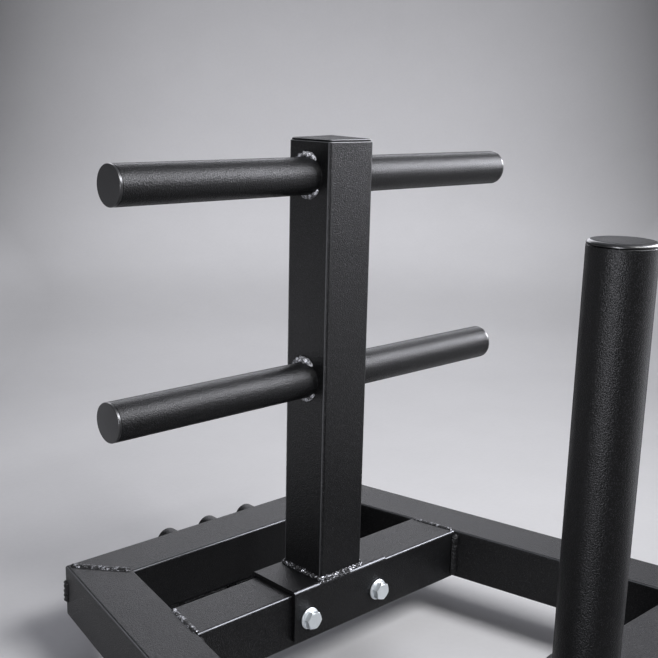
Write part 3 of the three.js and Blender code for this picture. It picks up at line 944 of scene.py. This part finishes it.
class SLED_OT_feet(SledOperator, bpy.types.Operator):
    """Adds the legs and glide shoes"""

    bl_idname = "sled.feet"
    bl_label = "Legs and glide shoes"

    def execute(self, context):
        leg_corner, shoe_corner, shoe_bottom, shoe_top = 0.004, 0.006, 0.004, 0.0008
        for name in FEET:
            node = f"{name}_leg"
            add_piece(f"{node}_stub", block(*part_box(node), 2, leg_corner, 6), node)
            node = f"{name}_glide_shoe"
            shoe = block(*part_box(node), 2, shoe_corner, 6)
            bottom = next(f for f in shoe.faces if f.normal.z < -UPWARD)
            top = top_face(shoe)
            bevelled(shoe, list(bottom.edges), shoe_bottom, 4)
            bevelled(shoe, list(top.edges), shoe_top, 2)
            add_piece(f"{node}_block", shoe, node, glide_plastic)
            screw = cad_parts[f"{name}_shoe_screw"]
            screw.data.materials.clear()
            screw.data.materials.append(material_of(zinc_plate))
        return {"FINISHED"}


class SLED_OT_welds(SledOperator, bpy.types.Operator):
    """Adds the weld beads at the joints"""

    bl_idname = "sled.welds"
    bl_label = "Weld beads"

    def execute(self, context):
        self.mitres()
        self.crossmembers()
        self.upright_foot()
        self.handles()
        self.round_feet()
        self.legs()
        return {"FINISHED"}

    def add(self, name, beads, finish=weld_coat):
        add_piece(name, joined(beads), finish=finish, sharp_angle=WELD_SHARP_ANGLE)

    def mitres(self):
        low, high = (corner.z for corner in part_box("left_rail"))
        middle = (low + high) / 2
        radius = sizes().bead_radius
        margin, inner_gap, outer_gap, corner_depth = 0.004, 0.003, 0.005, 0.0032
        rear_below, rear_above = 0.012, 0.011
        top_height, under_height, inside_height, edge_height = 0.55, 0.42, 0.7, 1.2
        inside_share, rear_share, front_share = 0.8, 1.25, 0.45
        for end, end_name in ENDS:
            for side, side_name in SIDES:
                inner, outer, normal = mitre(side, end)
                run = (outer - inner).normalized()
                start, stop = inner + run * inner_gap, outer - run * outer_gap
                top = flat_bead(start + UP * high, stop + UP * high,
                                normal, UP, top_height, radius, side * 3 + end)
                under = flat_bead(start + UP * low, stop + UP * low,
                                  normal, DOWN, under_height, radius, side * 5 + end)
                inside = flat_bead(inner + UP * (low + margin), inner + UP * (high - margin),
                                   normal, -run, inside_height, radius * inside_share,
                                   side * 11 + end)
                if end > 0:
                    bottom, ceiling, size = middle - rear_below, middle + rear_above, rear_share
                else:
                    bottom, ceiling, size = low + margin, high - margin, front_share
                spot = outer - run * corner_depth
                edge = flat_bead(spot + UP * bottom, spot + UP * ceiling,
                                 normal, run, edge_height, radius * size, side * 7 + end)
                self.add(f"{end_name}_{side_name}_mitre_weld", [top, under, inside])
                self.add(f"{end_name}_{side_name}_corner_weld", [edge], powder_coat)

    def crossmembers(self):
        flat_share, side_share, height = 0.78, 1.9, 0.5
        radius = sizes().bead_radius * flat_share
        side_radius = radius * side_share
        corner = sizes().tube_corner
        for node in CROSSMEMBERS:
            low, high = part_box(node)
            for side, side_name in SIDES:
                away, along_rail = -side_normal(side), side_direction(side)
                near = Vector((side * inner_x(low.y), low.y, 0))
                far = Vector((side * inner_x(high.y), high.y, 0))
                inset = (far - near).normalized() * corner
                flat = [
                    flat_bead(near + UP * level + inset, far + UP * level - inset,
                              away, up, height, radius, side + seed)
                    for level, up, seed in ((high.z, UP, 21), (low.z, DOWN, 24))]
                upright = [
                    corner_bead(foot + UP * (low.z + corner), foot + UP * (high.z - corner),
                                away, out, side_radius, side + seed, roughness=0.5)
                    for foot, out, seed in ((near, -along_rail, 27), (far, along_rail, 30))]
                self.add(f"{node}_{side_name}_weld", flat)
                self.add(f"{node}_{side_name}_side_weld", upright, powder_coat)

    def upright_foot(self):
        low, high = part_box("upright")
        plate_low, plate_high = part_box("upright_saddle")
        thin, thick = 0.72, 0.85
        stations = seam_round_square(low, high, plate_high.z, sizes().tube_corner,
                                     lambda out: thin if abs(out.y) > 0.5 else thick)
        foot = bead(stations, sizes().bead_radius, 41, closed=True, roughness=2.4)
        ledge_y, ledge_z, radius = plate_low.y + 0.0012, plate_high.z - 0.0011, 0.0016
        before, after = 0.004, 0.034
        start = Vector((low.x - before, ledge_y, ledge_z))
        end = Vector((low.x + after, ledge_y, ledge_z))
        line = corner_bead(start, end, Vector((0, -1, 0)), UP, radius, 43, roughness=2.0)
        self.add("upright_foot_weld", [foot, line])

    def handles(self):
        bare_limit = 0.3
        for side, node in HANDLES:
            low, high, middle = box(node)
            face = Vector((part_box("upright")[0 if side < 0 else 1].x, middle.y, middle.z))
            weld = ring_bead(face, (side, 0, 0), (high.z - low.z) / 2, sizes().bead_radius,
                             side + 51, 2.2, SEAM_STEP, handle_width)
            for part in weld.faces:
                out = part.calc_center_median() - face
                if handle_width(math.atan2(-side * out.y, out.z)) > bare_limit:
                    part.material_index = 1
            add_piece(f"{node}_weld", weld, sharp_angle=WELD_SHARP_ANGLE, second=bare_weld)

    def round_feet(self):
        low, high, middle = box("post_socket")
        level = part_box("middle_crossmember")[1].z
        radius, peg_share = sizes().bead_radius, 0.6
        weld = ring_bead((middle.x, middle.y, level), UP, (high.x - low.x) / 2, radius, 61, 1.2)
        self.add("post_socket_weld", [weld])
        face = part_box("rear_rail")[1].y
        for node in PEGS:
            low, high, middle = box(node)
            weld = ring_bead((middle.x, face, middle.z), (0, 1, 0), (high.x - low.x) / 2,
                             radius * peg_share, 65)
            self.add(f"{node}_weld", [weld])

    def legs(self):
        share, corner = 0.45, 0.005
        radius = sizes().bead_radius * share
        for name in FEET:
            low, high, middle = box(f"{name}_leg")
            half = (high - low) / 2
            beads = []
            for number, (x, y) in enumerate(((1, 0), (0, 1), (-1, 0), (0, -1))):
                if name.startswith("front") and y < 0:
                    continue
                out = Vector((x, y, 0))
                face = Vector((middle.x + x * half.x, middle.y + y * half.y, high.z))
                reach = out.cross(UP) * (half.x - corner)
                beads.append(corner_bead(face - reach, face + reach, out, DOWN,
                                         radius, 71 + number))
            self.add(f"{name}_leg_weld", beads, painted_weld)


# Studio, with each panel's name, place, target, width, height and watts

KEY_PANEL = ("key_panel", (0.12, -2.0, 2.45), (0, 0, 0.1), 1.2, 0.9, 94.0)
GLOSS_PANELS = (
    ("right_panel", (1.0, -0.5, 1.1), (0, 0.05, 0.25), 0.45, 0.45, 11.0),
    ("right_front_panel", (0.75, -0.85, 1.25), (0, 0, 0.25), 0.45, 0.45, 33.0),
    ("right_low_panel", (1.25, -0.25, 0.85), (0, 0, 0.25), 0.45, 0.45, 25.0),
    ("right_near_panel", (0.38, -0.26, 0.27), (0, 0.16, 0.3), 0.3, 0.36, 0.45),
    ("left_panel", (-1.45, -0.55, 0.45), (0, 0, 0.25), 0.25, 0.5, 27.0),
    ("left_near_panel", (-0.42, 0.62, 0.22), (0, 0.19, 0.26), 0.34, 0.38, 0.65),
    ("back_panel", (1.2, 1.5, 1.15), (0, 0, 0.1), 1.9, 0.8, 19.5),
)


def light_panel(name, place, target, width, height, power):
    data = bpy.data.lights.new(name, "AREA")
    data.shape = "RECTANGLE"
    data.size, data.size_y = width, height
    data.energy = power
    lamp = add_object(name, data)
    lamp.location = place
    lamp.rotation_mode = "QUATERNION"
    lamp.rotation_quaternion = (Vector(target) - Vector(place)).to_track_quat("-Z", "Y")
    lamp.visible_camera = False
    return lamp


class SLED_OT_stage(SledOperator, bpy.types.Operator):
    """Adds the pale studio floor and wall, the lamps and the camera"""

    bl_idname = "sled.stage"
    bl_label = "Studio"

    def execute(self, context):
        self.cyclorama()
        self.lamps()
        self.camera()
        return {"FINISHED"}

    def cyclorama(self):
        """A round sheet whose rim sweeps up into the wall."""
        flat, sweep, rise, steps = 1.25, 1.15, 1.6, 24
        profile = [(radius, 0.0) for radius in (0.0, 0.4, 0.8, flat)]
        for step in range(1, steps + 1):
            angle = math.pi / 2 * step / steps
            profile.append((flat + sweep * math.sin(angle), sweep * (1 - math.cos(angle))))
        profile.append((flat + sweep, sweep + rise))
        sheet = spun(profile, steps=128)
        bmesh.ops.recalc_face_normals(sheet, faces=sheet.faces[:])
        bmesh.ops.reverse_faces(sheet, faces=sheet.faces[:])
        for face in sheet.faces:
            face.smooth = True
        mesh = to_mesh(sheet, "studio_sheet")
        mesh.materials.append(self.sheet_finish())
        add_object("studio_sheet", mesh)

    def sheet_finish(self):
        """Pale paper with painted shade to the sides, far behind, in the crease at the wall's foot
        and up the wall, and a painted glow low on the wall.

        Across and toward are distances in the photograph's view. The camera sees less of the
        darkening far to the sides. Near the camera, bounced light finds a much darker sheet
        than the camera does.
        """
        shader = Shader("studio_sheet")
        x, y, height = (shader.node("ShaderNodeSeparateXYZ", {}, {0: shader.place}, axis)
                        for axis in range(3))
        across = x * 0.7278 - y * 0.6858 + 0.12
        toward = x * -0.6696 - y * 0.703
        spread = across * across
        seen = shader.node("ShaderNodeLightPath", {}, {}, "Is Camera Ray")
        limit = 0.25 + 0.5 * height.ramp(0.05, 0.4)
        spared = 1.0 - 0.85 * seen * spread.ramp(1.1, 1.8)
        # Painted shade: darker to the sides, less so for camera rays far out, and darker far
        # behind.
        sides = 1.0 - 0.93 * (spread ** 1.35).at_most(limit) * spared
        sides = sides * (1.0 - 0.13 * toward.ramp(-0.55, -0.15))
        # Painted glow low on the wall and painted shade higher up.
        painted_glow = 1.0 + 0.14 * height.ramp(0.07, 0.22) - 0.28 * height.ramp(0.4, 0.95)
        # Painted shade in the crease where the floor meets the wall.
        foot = 1.0 - 0.1 * height.ramp(0.0, 0.05) * (1.0 - height.ramp(0.06, 0.14))
        # Painted shade near the camera that only bounced light sees.
        unlit = 1.0 - 0.8 * toward.ramp(0.45, 1.05) * (1.0 - seen)
        mottle = 0.94 + 0.07 * shader.noise(9.0, 4.0, 0.6) + 0.05 * shader.noise(160.0, 2.0, 0.6)
        # The wall colour is darker than the floor's as painted shade up the wall.
        rise = height.ramp(0.02, 0.5)
        plain = shader.mix(rise, tone(colours().floor), tone(colours().wall))
        shader.fill(shader.surface, {
            "Base Color": shader.scaled(plain, sides * painted_glow * foot * unlit * mottle),
            "Roughness": 0.8 + 0.1 * shader.noise(700.0, 2.0),
            "Specular IOR Level": 0.05,
        })
        return shader.material

    def lamps(self):
        """The key lamp and the air light everything. The other panels only add gloss."""
        light_panel(*KEY_PANEL)
        for panel in GLOSS_PANELS:
            lamp = light_panel(*panel)
            lamp.visible_diffuse = False
            lamp.data.color = (0.93, 0.935, 1.0)
        world = bpy.data.worlds.new("studio_air")
        world.use_nodes = True
        air = world.node_tree.nodes["Background"]
        air.inputs["Color"].default_value = (0.9, 0.92, 1.0, 1.0)
        air.inputs["Strength"].default_value = 0.5
        bpy.context.scene.world = world

    def camera(self):
        """The camera solved from the photograph's straight edges."""
        scene = bpy.context.scene
        scene.view_settings.view_transform = "Standard"
        data = bpy.data.cameras.new("camera")
        data.lens = 57.76
        data.sensor_width = 36.0
        data.sensor_fit = "HORIZONTAL"
        data.shift_x, data.shift_y = 0.0033, 0.0388
        data.clip_start, data.clip_end = 0.05, 20.0
        place = Vector((-0.62133, -0.46345, 0.52561))
        forward = Vector((0.6696, 0.703, -0.2395)).normalized()
        right = Vector((0.7276, -0.6856, 0.0218))
        right = (right - forward * right.dot(forward)).normalized()
        turn = Matrix((right, right.cross(forward), -forward)).transposed().to_4x4()
        scene.camera = add_object("camera", data)
        scene.camera.matrix_world = Matrix.Translation(place) @ turn


OPERATORS = (
    SLED_OT_side_rails, SLED_OT_end_rails, SLED_OT_crossmembers, SLED_OT_saddle, SLED_OT_upright,
    SLED_OT_handles, SLED_OT_weight_post, SLED_OT_saddle_bolts, SLED_OT_pegs, SLED_OT_feet,
    SLED_OT_welds, SLED_OT_stage,
)


class SLED_PT_panel(bpy.types.Panel):
    """Lists the sled's operators, sizes and colours"""

    bl_idname = "SLED_PT_panel"
    bl_label = "Push sled"
    bl_space_type = "VIEW_3D"
    bl_region_type = "UI"
    bl_category = "Sled"

    def draw(self, context):
        for operator in OPERATORS:
            self.layout.operator(operator.bl_idname)
        for group in (context.scene.sled_sizes, context.scene.sled_colours):
            for name in group.__annotations__:
                self.layout.prop(group, name)


CLASSES = (SledSizes, SledColours, *OPERATORS, SLED_PT_panel)


def register():
    for item in CLASSES:
        bpy.utils.register_class(item)
    bpy.types.Scene.sled_sizes = bpy.props.PointerProperty(type=SledSizes)
    bpy.types.Scene.sled_colours = bpy.props.PointerProperty(type=SledColours)


def unregister():
    del bpy.types.Scene.sled_colours
    del bpy.types.Scene.sled_sizes
    for item in reversed(CLASSES):
        bpy.utils.unregister_class(item)


def main():
    register()
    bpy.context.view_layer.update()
    bpy.ops.sled.side_rails()
    bpy.ops.sled.end_rails()
    bpy.ops.sled.crossmembers()
    bpy.ops.sled.saddle()
    bpy.ops.sled.upright()
    bpy.ops.sled.handles()
    bpy.ops.sled.weight_post()
    bpy.ops.sled.saddle_bolts()
    bpy.ops.sled.pegs()
    bpy.ops.sled.feet()
    bpy.ops.sled.welds()
    bpy.ops.sled.stage()


if __name__ == "__main__":
    main()
